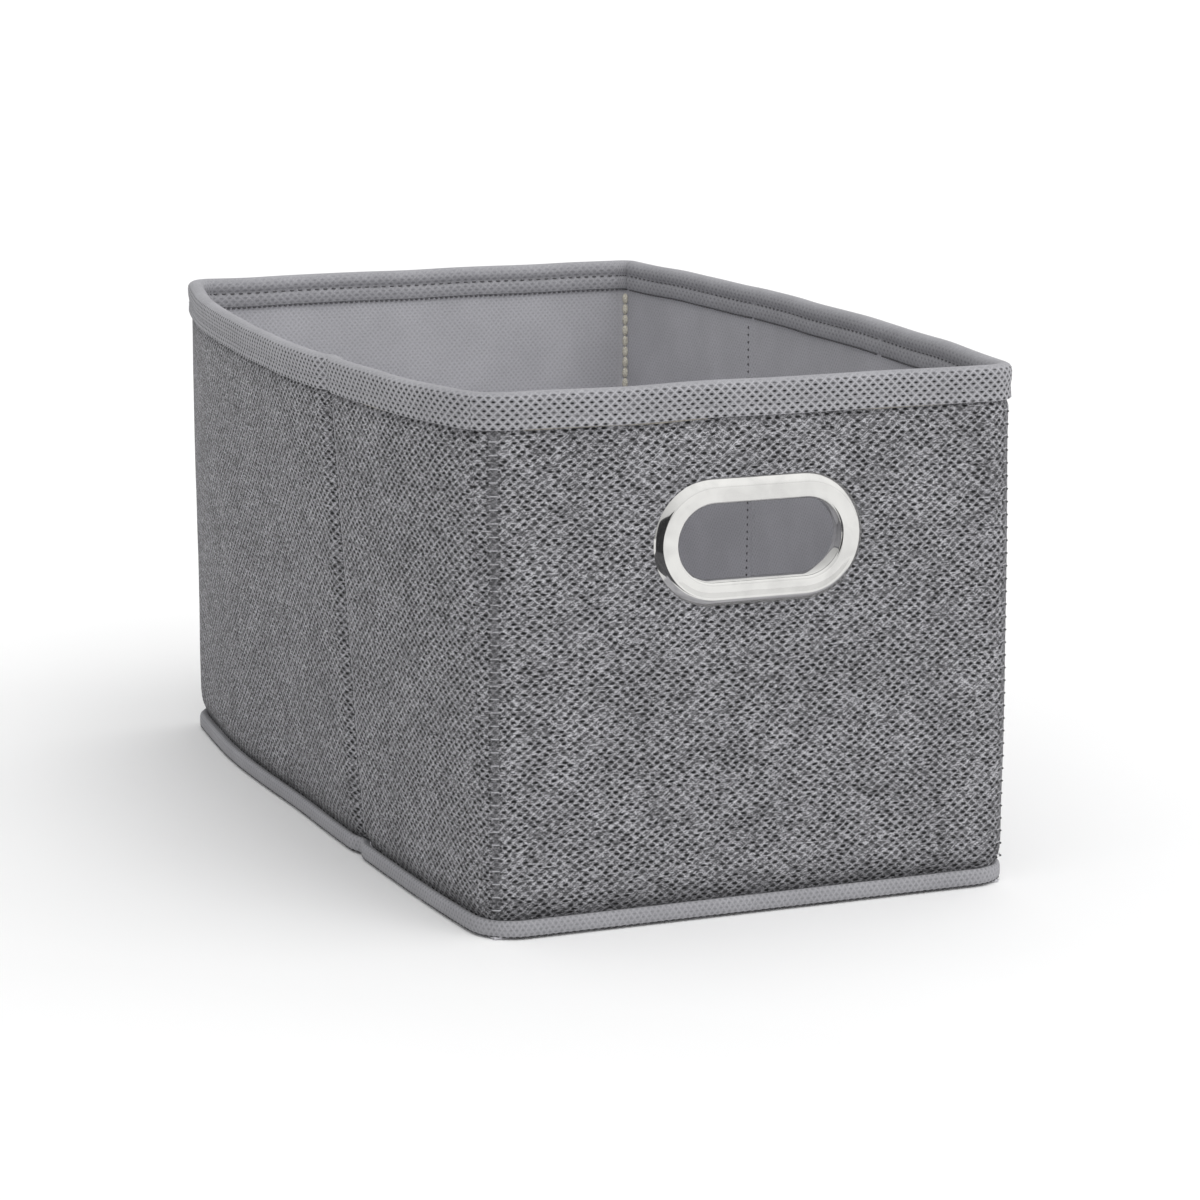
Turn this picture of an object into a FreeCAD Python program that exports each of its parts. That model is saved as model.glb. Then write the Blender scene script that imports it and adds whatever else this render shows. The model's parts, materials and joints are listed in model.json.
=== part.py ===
import FreeCAD, Part
import math
import os

import Sketcher

# Fabric storage bin: an open-top box of fabric-covered boards that folds in at two side creases.
#
# The walls are six board panels joined by fabric hinges: a front and a back wall, and two long sides
# that are each split by an upright crease. The left crease stands a third of the length from the front
# and the right crease a third of the length from the back, so that the folds pass each other.
# Each wall is a stack of outer cover, board and lining, closed at the top by a rim binding.
# A binding tape runs round the foot and holds the bottom cover, and a covered board lies loose on it.
# A metal oval ring is clamped through the front wall as the handle.
#
# Frame: millimetres, +Z up, the front wall at -Y, the origin at the middle of the footprint on the floor.

# Driving dimensions, in millimetres: alias -> (value, what it is).
DIMENSIONS = {
    "width": (150.0, "outer width of the front wall"),
    "length": (268.0, "outer length from front wall to back wall"),
    "rim_height": (143.0, "floor to the top of the rim"),
    "bow": (8.0, "how far each side crease stands outside the corners"),
    "crease_from_end": (89.0, "distance of a side crease from its nearer end wall"),
    "wall_foot": (5.3, "floor to the lower edge of the walls"),
    "cover_gauge": (0.8, "outer cover fabric"),
    "board_gauge": (2.0, "board inside a wall"),
    "lining_gauge": (0.6, "lining fabric"),
    "tape_gauge": (0.5, "rim binding tape"),
    "rim_tape_outside": (9.5, "height of the rim binding outside"),
    "rim_tape_inside": (9.0, "height of the rim binding inside"),
    "board_foot": (7.0, "floor to the lower edge of the boards"),
    "board_top_gap": (2.5, "from the top of the rim down to the boards"),
    "corner_gap": (4.5, "from an outer corner to the end of a side panel"),
    "crease_gap": (0.5, "from a crease to the end of a side panel"),
    "board_end_gap": (1.5, "how far a board stops short of its cover's ends"),
    "thread_height": (0.8, "height of a stitch row"),
    "thread_proud": (0.15, "how far a stitch row stands off its tape"),
    "rim_thread_drop": (7.6, "from the top of the rim down to its stitch row"),
    "thread_end_gap": (3.0, "how far a stitch row stops short of a panel's ends"),
    "seam_width": (3.4, "width of a corner seam's stitching"),
    "seam_gauge": (0.3, "thickness of a seam's stitching"),
    "seam_inset": (1.0, "from a wall's end to its corner seam"),
    "lip_height": (5.0, "height of the binding round the foot"),
    "lip_proud": (1.5, "how far the foot binding stands outside the walls"),
    "lip_inside": (1.5, "how far the foot binding reaches inside the walls' outer faces"),
    "lip_thread_drop": (3.4, "from the top of the foot binding down to its stitch row"),
    "bottom_gauge": (0.8, "bottom cover fabric"),
    "insert_width": (140.6, "width of the loose bottom board with its cover"),
    "insert_length": (257.6, "length of the loose bottom board with its cover"),
    "insert_gauge": (3.2, "thickness of the loose bottom board with its cover"),
    "insert_cover_gauge": (0.6, "fabric round the loose bottom board"),
    "insert_rest": (0.9, "floor to the underside of the loose bottom board"),
    "handle_drop": (42.2, "from the top of the rim down to the middle of the handle"),
    "handle_straight": (12.9, "half the straight length of the handle's oval"),
    "handle_hole_radius": (10.3, "end radius of the opening through the handle"),
    "handle_outer_radius": (17.6, "end radius of the handle's outer edge"),
    "handle_proud": (1.5, "how far the handle's flange stands off the cover"),
    "handle_edge_round": (1.1, "rounding of the handle's outer edge"),
    "handle_collar": (1.0, "thickness of the collar through the wall"),
    "wall_hole_clearance": (0.15, "gap between the collar and the hole in the wall"),
    "back_ring_radius": (16.0, "end radius of the clamp ring inside"),
    "back_ring_gauge": (0.8, "thickness of the clamp ring inside"),
    "prong_reach": (2.4, "how far a prong lies over the clamp ring"),
    "prong_width": (5.0, "width of a prong"),
    "prong_gauge": (0.6, "thickness of a prong"),
    "prong_spacing": (11.0, "distance between neighbouring prongs"),
}

PARTS_FOLDER = "parts"
SHEET = "Dimensions"

# The six panels, anticlockwise from above: name, its start and its end.
WALLS = (
    ("front", "front_left", "front_right"),
    ("right_front", "front_right", "right_crease"),
    ("right_rear", "right_crease", "back_right"),
    ("back", "back_right", "back_left"),
    ("left_rear", "back_left", "left_crease"),
    ("left_front", "left_crease", "front_left"),
)
END_WALLS = ("front", "back")


def size(alias):
    """A driving dimension's value."""
    return DIMENSIONS[alias][0]


def cells(expression):
    """An expression on aliases, with each alias pointed at the sheet."""
    words = []
    for word in expression.split():
        bare = word.strip("()")
        words.append(word.replace(bare, SHEET + "." + bare) if bare in DIMENSIONS else word)
    return " ".join(words)


def write_sheet(doc):
    """Put the driving dimensions in the document's spreadsheet."""
    sheet = doc.addObject("Spreadsheet::Sheet", SHEET)
    for row, (alias, (value, note)) in enumerate(DIMENSIONS.items(), start=1):
        sheet.set("A%d" % row, alias)
        sheet.set("B%d" % row, str(value))
        sheet.set("C%d" % row, note)
        sheet.setAlias("B%d" % row, alias)
    doc.recompute()


def plan_points():
    """The corners and creases of the walls' outer faces, seen from above."""
    half_width = size("width") / 2
    half_length = size("length") / 2
    crease_x = half_width + size("bow")
    crease_y = half_length - size("crease_from_end")
    return {
        "front_left": (-half_width, -half_length),
        "front_right": (half_width, -half_length),
        "right_crease": (crease_x, crease_y),
        "back_right": (half_width, half_length),
        "back_left": (-half_width, half_length),
        "left_crease": (-crease_x, -crease_y),
    }


def wall_frame(start, end):
    """The placement of a panel: X along it from its start, Y inwards from its outer face, Z up."""
    points = plan_points()
    (x0, y0), (x1, y1) = points[start], points[end]
    turn = math.degrees(math.atan2(y1 - y0, x1 - x0))
    return FreeCAD.Placement(
        FreeCAD.Vector(x0, y0, 0), FreeCAD.Rotation(FreeCAD.Vector(0, 0, 1), turn)
    )


def end_gap(wall, point):
    """The alias of the gap that a panel leaves at one of its ends, or None on an end wall."""
    if wall in END_WALLS:
        return None
    return "crease_gap" if point.endswith("crease") else "corner_gap"


def span(wall, start, end):
    """The expression of a panel's length between its gaps."""
    if wall in END_WALLS:
        return "width"
    run = "crease_from_end" if wall in ("left_front", "right_rear") else "( length - crease_from_end )"
    return "sqrt( ( %s )^2 + ( bow )^2 ) - %s - %s" % (run, end_gap(wall, start), end_gap(wall, end))


def moved(x, y, z):
    return FreeCAD.Placement(FreeCAD.Vector(x, y, z), FreeCAD.Rotation())


def add_box(doc, label, length, width, height, placement):
    """A box whose three sizes are expressions on the sheet."""
    box = doc.addObject("Part::Box", label)
    box.Label = label
    box.setExpression("Length", cells(length))
    box.setExpression("Width", cells(width))
    box.setExpression("Height", cells(height))
    box.Placement = placement
    return box


def new_body(doc, label):
    body = doc.addObject("PartDesign::Body", label)
    body.Label = label
    return body


def new_sketch(body, name, plane):
    """A sketch on one of the body's own origin planes."""
    sketch = body.newObject("Sketcher::SketchObject", body.Label + "_" + name)
    support = [f for f in body.Origin.OriginFeatures if f.Role == plane][0]
    sketch.AttachmentSupport = [(support, "")]
    sketch.MapMode = "FlatFace"
    return sketch


def bind(sketch, kind, geometry, position, value, expression):
    """A distance from the sketch's origin to a point, driven by the sheet."""
    index = sketch.addConstraint(Sketcher.Constraint(kind, -1, 1, geometry, position, value))
    sketch.setExpression("Constraints[%d]" % index, cells(expression))


def draw_polygon(sketch, corners):
    """A closed outline whose corners are pairs of expressions."""
    first = sketch.GeometryCount
    count = len(corners)
    rough = [
        FreeCAD.Vector(math.cos(2 * math.pi * i / count), math.sin(2 * math.pi * i / count), 0)
        for i in range(count)
    ]
    for i in range(count):
        sketch.addGeometry(Part.LineSegment(rough[i], rough[(i + 1) % count]), False)
    for i in range(count):
        after = first + (i + 1) % count
        sketch.addConstraint(Sketcher.Constraint("Coincident", first + i, 2, after, 1))
    for i, (across, up) in enumerate(corners):
        bind(sketch, "DistanceX", first + i, 1, rough[i].x, across)
        bind(sketch, "DistanceY", first + i, 1, rough[i].y, up)


def draw_oval(sketch, straight, radius, middle):
    """A closed oval: half its straight length, its end radius and its middle's height are expressions."""
    right = sketch.GeometryCount
    top, left, bottom = right + 1, right + 2, right + 3
    reach, bulge, lift = 12.0, 10.0, 100.0
    normal = FreeCAD.Vector(0, 0, 1)
    quarter = math.pi / 2
    ends = (FreeCAD.Vector(reach, lift, 0), FreeCAD.Vector(-reach, lift, 0))
    rise = FreeCAD.Vector(0, bulge, 0)
    sketch.addGeometry(
        Part.ArcOfCircle(Part.Circle(ends[0], normal, bulge), -quarter, quarter), False
    )
    sketch.addGeometry(Part.LineSegment(ends[0] + rise, ends[1] + rise), False)
    sketch.addGeometry(
        Part.ArcOfCircle(Part.Circle(ends[1], normal, bulge), quarter, 3 * quarter), False
    )
    sketch.addGeometry(Part.LineSegment(ends[1] - rise, ends[0] - rise), False)
    around = (right, top, left, bottom, right)
    for before, after in zip(around, around[1:]):
        sketch.addConstraint(Sketcher.Constraint("Tangent", before, 2, after, 1))
    sketch.addConstraint(Sketcher.Constraint("Horizontal", top))
    sketch.addConstraint(Sketcher.Constraint("Equal", right, left))
    bind(sketch, "DistanceX", right, 3, reach, straight)
    bind(sketch, "DistanceX", left, 3, -reach, "0 - " + straight)
    bind(sketch, "DistanceY", right, 3, lift, middle)
    index = sketch.addConstraint(Sketcher.Constraint("Radius", right, bulge))
    sketch.setExpression("Constraints[%d]" % index, cells(radius))


def add_pad(body, sketch, name, length, backwards=False):
    pad = body.newObject("PartDesign::Pad", body.Label + "_" + name)
    pad.Profile = sketch
    pad.setExpression("Length", cells(length))
    pad.Reversed = backwards
    body.Tip = pad
    return pad


HANDLE_MIDDLE = "rim_height - handle_drop"
WALL_HOLE_RADIUS = "handle_hole_radius + handle_collar + wall_hole_clearance"
LAYERS = (
    ("cover", "0", "cover_gauge", "wall_foot", "rim_height - tape_gauge", "0"),
    ("board", "cover_gauge", "board_gauge", "board_foot", "rim_height - board_top_gap", "board_end_gap"),
    ("lining", "cover_gauge board_gauge", "lining_gauge", "wall_foot", "rim_height - tape_gauge", "0"),
)


def total(aliases):
    """The sum of the dimensions that a list of aliases names."""
    return sum(size(a) for a in aliases.split() if a in DIMENSIONS)


def add_pierced_layer(doc, label, gauge, foot, top, inset, placement):
    """A layer of the front wall, with the handle's hole through it."""
    body = new_body(doc, label)
    sketch = new_sketch(body, "outline", "XZ_Plane")
    near = "0 - width / 2 + " + inset
    far = "width / 2 - " + inset
    draw_polygon(sketch, ((near, foot), (far, foot), (far, top), (near, top)))
    draw_oval(sketch, "handle_straight", WALL_HOLE_RADIUS, HANDLE_MIDDLE)
    add_pad(body, sketch, "layer", gauge, backwards=True)
    body.Placement = placement * moved(size("width") / 2, 0, 0)
    return body


def add_layers(doc, wall, start, end):
    """A panel's cover, board and lining, from the outside in."""
    frame = wall_frame(start, end)
    gap = end_gap(wall, start)
    begin = size(gap) if gap else 0.0
    made = []
    for layer, outside, gauge, foot, top, inset in LAYERS:
        label = "%s_%s" % (wall, layer)
        deep = total(outside)
        if wall == "front":
            made.append(add_pierced_layer(doc, label, gauge, foot, top, inset, frame * moved(0, deep, 0)))
            continue
        place = frame * moved(begin + total(inset), deep, size(foot))
        length = "%s - 2 * %s" % (span(wall, start, end), inset)
        made.append(add_box(doc, label, length, gauge, "%s - %s" % (top, foot), place))
    return made


def add_rim_binding(doc, wall, start, end):
    """The tape folded over a panel's top edge, outside and inside."""
    body = new_body(doc, wall + "_rim_binding")
    sketch = new_sketch(body, "section", "YZ_Plane")
    wall_gauge = "cover_gauge + board_gauge + lining_gauge"
    outside = "0 - tape_gauge"
    inside = wall_gauge + " + tape_gauge"
    outer_foot = "rim_height - rim_tape_outside"
    inner_foot = "rim_height - rim_tape_inside"
    under = "rim_height - tape_gauge"
    draw_polygon(
        sketch,
        (
            (outside, outer_foot),
            (outside, "rim_height"),
            (inside, "rim_height"),
            (inside, inner_foot),
            (wall_gauge, inner_foot),
            (wall_gauge, under),
            ("0", under),
            ("0", outer_foot),
        ),
    )
    add_pad(body, sketch, "tape", span(wall, start, end))
    gap = end_gap(wall, start)
    body.Placement = wall_frame(start, end) * moved(size(gap) if gap else 0.0, 0, 0)
    return body


def add_rim_thread(doc, wall, start, end):
    """The stitch row on the outside of a panel's rim binding."""
    gap = end_gap(wall, start)
    begin = (size(gap) if gap else 0.0) + size("thread_end_gap")
    place = wall_frame(start, end) * moved(
        begin, -size("tape_gauge") - size("thread_proud"), size("rim_height") - size("rim_thread_drop")
    )
    length = span(wall, start, end) + " - 2 * thread_end_gap"
    return add_box(doc, wall + "_rim_thread", length, "thread_proud", "thread_height", place)


def add_corner_seam(doc, wall, side):
    """The upright seam beside one outer corner of an end wall."""
    start, end = [(s, e) for name, s, e in WALLS if name == wall][0]
    starts_left = wall == "back"
    at_start = (side == "left") != starts_left
    along = size("seam_inset") if at_start else size("width") - size("seam_inset") - size("seam_width")
    foot = size("wall_foot") + size("seam_gauge")
    place = wall_frame(start, end) * moved(along, -size("seam_gauge"), foot)
    height = "rim_height - rim_tape_outside - wall_foot - 2 * seam_gauge"
    return add_box(doc, "%s_%s_seam" % (wall, side), "seam_width", "seam_gauge", height, place)


def add_crease_seam(doc, wall):
    """The stitching beside a side crease, on the panel next to it."""
    start, end = [(s, e) for name, s, e in WALLS if name == wall][0]
    at_start = start.endswith("crease")
    run = size("length") - size("crease_from_end")
    if wall in ("left_front", "right_rear"):
        run = size("crease_from_end")
    along = size("crease_gap") + size("seam_inset")
    if not at_start:
        along = math.hypot(run, size("bow")) - along - size("seam_width") / 2
    foot = size("wall_foot") + size("seam_gauge")
    place = wall_frame(start, end) * moved(along, -size("seam_gauge"), foot)
    height = "rim_height - rim_tape_outside - wall_foot - 2 * seam_gauge"
    side = wall.split("_")[0]
    return add_box(doc, side + "_crease_seam", "seam_width / 2", "seam_gauge", height, place)


def footprint(offset):
    """The walls' outline seen from above, moved out by an offset, as expressions."""
    across = "( width / 2 + %s )" % offset
    along = "( length / 2 + %s )" % offset
    crease = "( width / 2 + bow + %s )" % offset
    crease_along = "( length / 2 - crease_from_end )"
    return (
        ("0 - " + across, "0 - " + along),
        (across, "0 - " + along),
        (crease, crease_along),
        (across, along),
        ("0 - " + across, along),
        ("0 - " + crease, "0 - " + crease_along),
    )


def add_foot_binding(doc):
    """The tape round the foot of the walls, which the bin stands on."""
    body = new_body(doc, "base_binding")
    sketch = new_sketch(body, "outline", "XY_Plane")
    draw_polygon(sketch, footprint("lip_proud"))
    draw_polygon(sketch, footprint("0 - lip_inside"))
    add_pad(body, sketch, "tape", "lip_height")
    return body


def add_bottom_cover(doc):
    """The fabric bottom that the foot binding holds by its edge."""
    body = new_body(doc, "bottom_cover")
    sketch = new_sketch(body, "outline", "XY_Plane")
    draw_polygon(sketch, footprint("0 - lip_inside"))
    add_pad(body, sketch, "sheet", "bottom_gauge")
    return body


def add_foot_thread(doc):
    """The stitch rows on the front and back faces of the foot binding, as one node."""
    proud = size("thread_proud")
    long = size("width") - 2 * size("thread_end_gap")
    level = size("lip_height") - size("lip_thread_drop")
    face = size("length") / 2 + size("lip_proud")
    rows = [
        Part.makeBox(long, proud, size("thread_height"), FreeCAD.Vector(-long / 2, y, level))
        for y in (-face - proud, face)
    ]
    thread = doc.addObject("Part::Feature", "base_thread")
    thread.Label = "base_thread"
    thread.Shape = Part.makeCompound(rows)
    thread.Placement = moved(0, 0, 0)
    return thread


def add_insert(doc):
    """The loose board on the bottom, wrapped in fabric."""
    half_width = size("insert_width") / 2
    half_length = size("insert_length") / 2
    skin = size("insert_cover_gauge")
    place = moved(-half_width, -half_length, size("insert_rest"))
    wrap = add_box(doc, "insert_wrap", "insert_width", "insert_length", "insert_gauge", place)
    inner = ("insert_width", "insert_length", "insert_gauge")
    sizes = ["%s - 2 * insert_cover_gauge" % alias for alias in inner]
    within = place * moved(skin, skin, skin)
    core = add_box(doc, "insert_core", *sizes, within)
    board = add_box(doc, "insert_board", *sizes, within)
    cover = doc.addObject("Part::Cut", "insert_cover")
    cover.Label = "insert_cover"
    cover.Base = wrap
    cover.Tool = core
    return [board, cover]


def handle_frame():
    """The front wall's frame at its middle: Y runs inwards from the cover."""
    return wall_frame("front_left", "front_right") * moved(size("width") / 2, 0, 0)


def add_handle_ring(doc):
    """The polished oval flange outside, with the collar that passes through the wall."""
    body = new_body(doc, "handle_ring")
    flange = new_sketch(body, "flange_outline", "XZ_Plane")
    draw_oval(flange, "handle_straight", "handle_outer_radius", HANDLE_MIDDLE)
    draw_oval(flange, "handle_straight", "handle_hole_radius", HANDLE_MIDDLE)
    add_pad(body, flange, "flange", "handle_proud")
    collar = new_sketch(body, "collar_outline", "XZ_Plane")
    draw_oval(collar, "handle_straight", "handle_hole_radius + handle_collar", HANDLE_MIDDLE)
    draw_oval(collar, "handle_straight", "handle_hole_radius", HANDLE_MIDDLE)
    depth = "cover_gauge + board_gauge + lining_gauge + back_ring_gauge"
    add_pad(body, collar, "collar", depth, backwards=True)
    doc.recompute()
    face_y = -size("handle_proud")
    reach = size("handle_straight") + size("handle_outer_radius")
    names = []
    for i, edge in enumerate(body.Shape.Edges, start=1):
        box = edge.BoundBox
        on_face = abs(box.YMin - face_y) < 0.01 and abs(box.YMax - face_y) < 0.01
        outer_arc = box.XMax > reach - 0.1 or box.XMin < -reach + 0.1
        tall = box.ZMin < size("rim_height") - size("handle_drop") - size("handle_outer_radius") + 0.1
        high = box.ZMax > size("rim_height") - size("handle_drop") + size("handle_outer_radius") - 0.1
        if on_face and (outer_arc or tall or high):
            names.append("Edge%d" % i)
    solid = body.Tip
    rounding = body.newObject("PartDesign::Fillet", "handle_ring_edge")
    rounding.Base = (solid, names)
    rounding.setExpression("Radius", cells("handle_edge_round"))
    body.Tip = rounding
    body.Placement = handle_frame()
    return body


def add_back_ring(doc):
    """The flat clamp ring inside, round the collar."""
    body = new_body(doc, "handle_back_ring")
    sketch = new_sketch(body, "outline", "XZ_Plane")
    draw_oval(sketch, "handle_straight", "back_ring_radius", HANDLE_MIDDLE)
    hole = "handle_hole_radius + handle_collar + wall_hole_clearance"
    draw_oval(sketch, "handle_straight", hole, HANDLE_MIDDLE)
    add_pad(body, sketch, "plate", "back_ring_gauge", backwards=True)
    inside = size("cover_gauge") + size("board_gauge") + size("lining_gauge")
    body.Placement = handle_frame() * moved(0, inside, 0)
    return body


def add_prongs(doc):
    """The collar's prongs, bent over the clamp ring, as one node."""
    wall = size("cover_gauge") + size("board_gauge") + size("lining_gauge")
    level = size("rim_height") - size("handle_drop")
    rise = size("handle_hole_radius") + size("handle_collar") / 2
    spacing, width, gauge = size("prong_spacing"), size("prong_width"), size("prong_gauge")
    deep = wall + size("back_ring_gauge")
    prongs = []
    for column in (-1, 0, 1):
        for upwards in (True, False):
            foot = level + rise if upwards else level - rise - size("prong_reach")
            corner = FreeCAD.Vector(column * spacing - width / 2, deep, foot)
            prongs.append(Part.makeBox(width, gauge, size("prong_reach"), corner))
    feature = doc.addObject("Part::Feature", "handle_prongs")
    feature.Label = "handle_prongs"
    feature.Shape = Part.makeCompound(prongs)
    feature.Placement = handle_frame()
    return feature


def build(doc):
    """Every sub-part of the bin."""
    made = []
    for wall, start, end in WALLS:
        made += add_layers(doc, wall, start, end)
        made.append(add_rim_binding(doc, wall, start, end))
        made.append(add_rim_thread(doc, wall, start, end))
    for wall in END_WALLS:
        for side in ("left", "right"):
            made.append(add_corner_seam(doc, wall, side))
    for wall in ("left_front", "right_front"):
        made.append(add_crease_seam(doc, wall))
    made += [add_foot_binding(doc), add_foot_thread(doc), add_bottom_cover(doc)]
    made += add_insert(doc)
    made += [add_handle_ring(doc), add_back_ring(doc), add_prongs(doc)]
    doc.recompute()
    return made


def check(doc, made):
    """Stop if any object failed or any sub-part isn't a valid solid."""
    for item in doc.Objects:
        if "Invalid" in item.State or "Error" in item.State:
            raise RuntimeError("%s is %s" % (item.Name, item.State))
    for item in made:
        if item.Shape.isNull() or not item.Shape.isValid() or not item.Shape.Solids:
            raise RuntimeError(item.Label + " isn't a valid solid")


def export(made):
    os.makedirs(PARTS_FOLDER, exist_ok=True)
    for item in made:
        item.Shape.exportStep(os.path.join(PARTS_FOLDER, item.Label + ".step"))


document = FreeCAD.newDocument("FabricStorageBin")
write_sheet(document)
subparts = build(document)
check(document, subparts)
export(subparts)
print("%d sub-parts" % len(subparts))
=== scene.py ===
import json
import math

import bmesh
import bpy
from mathutils import Matrix, Vector, noise


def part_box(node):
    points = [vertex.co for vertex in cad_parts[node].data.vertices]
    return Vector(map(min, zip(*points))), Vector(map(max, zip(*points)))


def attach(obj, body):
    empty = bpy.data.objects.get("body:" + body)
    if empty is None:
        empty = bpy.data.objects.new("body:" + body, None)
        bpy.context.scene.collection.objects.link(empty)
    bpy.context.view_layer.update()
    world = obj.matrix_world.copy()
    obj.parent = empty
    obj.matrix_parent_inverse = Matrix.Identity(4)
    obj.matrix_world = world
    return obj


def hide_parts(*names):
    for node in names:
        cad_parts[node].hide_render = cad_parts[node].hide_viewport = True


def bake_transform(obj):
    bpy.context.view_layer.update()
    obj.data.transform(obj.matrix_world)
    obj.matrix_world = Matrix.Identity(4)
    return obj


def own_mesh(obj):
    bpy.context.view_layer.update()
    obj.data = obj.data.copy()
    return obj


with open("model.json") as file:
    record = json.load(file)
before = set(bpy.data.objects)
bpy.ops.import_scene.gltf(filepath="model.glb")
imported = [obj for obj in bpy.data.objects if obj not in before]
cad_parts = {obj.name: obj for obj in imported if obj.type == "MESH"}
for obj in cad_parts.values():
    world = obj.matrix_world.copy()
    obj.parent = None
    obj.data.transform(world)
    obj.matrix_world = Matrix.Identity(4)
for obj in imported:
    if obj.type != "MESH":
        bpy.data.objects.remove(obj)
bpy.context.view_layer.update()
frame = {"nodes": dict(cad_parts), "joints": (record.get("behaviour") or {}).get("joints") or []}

# The fabric storage bin's visible pieces. Sizes below are in millimetres; MM makes them metres.
MM = 0.001


def node_box(name):
    """A CAD node's lowest and highest corners, in millimetres."""
    low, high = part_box(name)
    return [v / MM for v in low], [v / MM for v in high]


def joint_place(name):
    """A joint's position, in millimetres."""
    joint = next(j for j in frame["joints"] if j["name"] == name)
    return [v / MM for v in joint["pos_m"]]


# Sizes that the frame gives.
FRONT_LOW, FRONT_HIGH = node_box("front_cover")
FRONT_Y = FRONT_LOW[1]
BACK_Y = node_box("back_cover")[1][1]
HALF_WIDTH = FRONT_HIGH[0]
WIDTH = 2 * HALF_WIDTH
LENGTH = BACK_Y - FRONT_Y
RIM = node_box("front_rim_binding")[1][2]
TAPE_FOOT = node_box("front_rim_binding")[0][2]
WALL = node_box("front_lining")[1][1] - FRONT_Y
LIP_TOP = node_box("base_binding")[1][2]
LEFT_CREASE_Y = joint_place("left_crease_fold")[1]
RIGHT_CREASE_Y = -LEFT_CREASE_Y
RIGHT_BOW = node_box("base_binding")[1][0] - HALF_WIDTH - 1.5
HANDLE_LOW, HANDLE_HIGH = node_box("handle_ring")
HANDLE_Z = (HANDLE_LOW[2] + HANDLE_HIGH[2]) / 2
RING_RADIUS = (HANDLE_HIGH[2] - HANDLE_LOW[2]) / 2
RING_STRAIGHT = HANDLE_HIGH[0] - RING_RADIUS
PERIMETER = 2 * (WIDTH + LENGTH)

# Gauges of the cloths and their places in the wall, counted inwards from its outer face.
COVER_GAUGE = 0.8
LINING_GAUGE = 0.6
TAPE_GAUGE = 0.5
LIP_GAUGE = 0.7
BOARD_INSET = 0.85
BOARD_GAUGE = 1.9
HOLE_RADIUS = 10.3
HOLE_CLEARANCE = 1.15

# How round the walls' corners are, seen from above: front-right, back-right, back-left, front-left;
# how much rounder each is at the rim than at the foot; and how much rounder the foot tape's are.
CORNER_ROUND = (5.5, 5.5, 6.5, 5.5)
RIM_ROUND = (1.5, 0.0, 0.0, 3.5)
FOOT_ROUND = 4.5

# The cloth's crease on the left leans forward towards the rim, by VALLEY_LEAN mm per mm of height.
VALLEY_FOOT_Y = LEFT_CREASE_Y + 4.0
VALLEY_RIM_Y = LEFT_CREASE_Y - 5.0
VALLEY_LEAN = (VALLEY_FOOT_Y - VALLEY_RIM_Y) / RIM
VALLEY_DEPTH, VALLEY_SPREAD = 1.5, 3.2

# How far each long side stands outside the line between its corners: (y, bow) at the rim.
LEFT_RIM_BOW = (
    (FRONT_Y, 0.0), (-118, 6.4), (-93, 12.0), (-70, 14.6), (LEFT_CREASE_Y - 7.0, 16.0),
    (-17, 17.8), (20, 16.8), (55, 14.2), (85, 10.6), (112, 5.4), (BACK_Y, 0.0),
)
RIGHT_RIM_BOW = (
    (FRONT_Y, 0.0), (-60, 6.6), (0, 8.3), (RIGHT_CREASE_Y, RIGHT_BOW), (92, 4.4), (BACK_Y, 0.0),
)
# The bow at the foot, as a share of the rim's, near the front and near the back.
LEFT_FOOT_SHARES = (0.25, 0.45)


def along_knots(knots, at):
    """A smooth curve through knots (place, value), read at a place."""
    last = len(knots) - 1
    i = 0
    while i < last - 1 and at > knots[i + 1][0]:
        i += 1
    (x0, y0), (x1, y1) = knots[i], knots[i + 1]

    def slope(k):
        if k == 0 or k == last:
            j = 0 if k == 0 else last - 1
            return (knots[j + 1][1] - knots[j][1]) / (knots[j + 1][0] - knots[j][0])
        return (knots[k + 1][1] - knots[k - 1][1]) / (knots[k + 1][0] - knots[k - 1][0])

    run = x1 - x0
    t = (at - x0) / run
    rise = y0 * (2 * t**3 - 3 * t**2 + 1) + y1 * (3 * t**2 - 2 * t**3)
    return rise + run * (slope(i) * (t**3 - 2 * t**2 + t) + slope(i + 1) * (t**3 - t**2))


def smooth(low, high, value):
    """0 below low, 1 above high, and a smooth step between."""
    t = min(1.0, max(0.0, (value - low) / (high - low)))
    return t * t * (3 - 2 * t)


def left_bow(y, z):
    """How far the left side stands out at a height, with the shallow valley of its crease."""
    near, far = LEFT_FOOT_SHARES
    foot = near + (far - near) * smooth(0, 90, y)
    share = foot + (1 - foot) * max(z, 0.0) / RIM
    valley_y = VALLEY_FOOT_Y - VALLEY_LEAN * z
    valley = VALLEY_DEPTH * math.exp(-(((y - valley_y) / VALLEY_SPREAD) ** 2))
    return along_knots(LEFT_RIM_BOW, y) * share - valley


def side_point(side, t, z):
    """A point on a side's outer line, t mm along it; the sides run anticlockwise from above."""
    if side == 0:
        return Vector((-HALF_WIDTH + t, FRONT_Y))
    if side == 1:
        y = FRONT_Y + t
        return Vector((HALF_WIDTH + along_knots(RIGHT_RIM_BOW, y), y))
    if side == 2:
        return Vector((HALF_WIDTH - t, BACK_Y))
    y = BACK_Y - t
    return Vector((-HALF_WIDTH - left_bow(y, z), y))


SIDE_LENGTHS = (WIDTH, LENGTH, WIDTH, LENGTH)
SIDE_STARTS = (0.0, WIDTH, WIDTH + LENGTH, 2 * WIDTH + LENGTH)
CORNERS = (
    Vector((HALF_WIDTH, FRONT_Y)),
    Vector((HALF_WIDTH, BACK_Y)),
    Vector((-HALF_WIDTH, BACK_Y)),
    Vector((-HALF_WIDTH, FRONT_Y)),
)
# How far a cubic curve's handles reach, as a share, to stand for a quarter of a circle.
ARC = 0.5523

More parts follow.
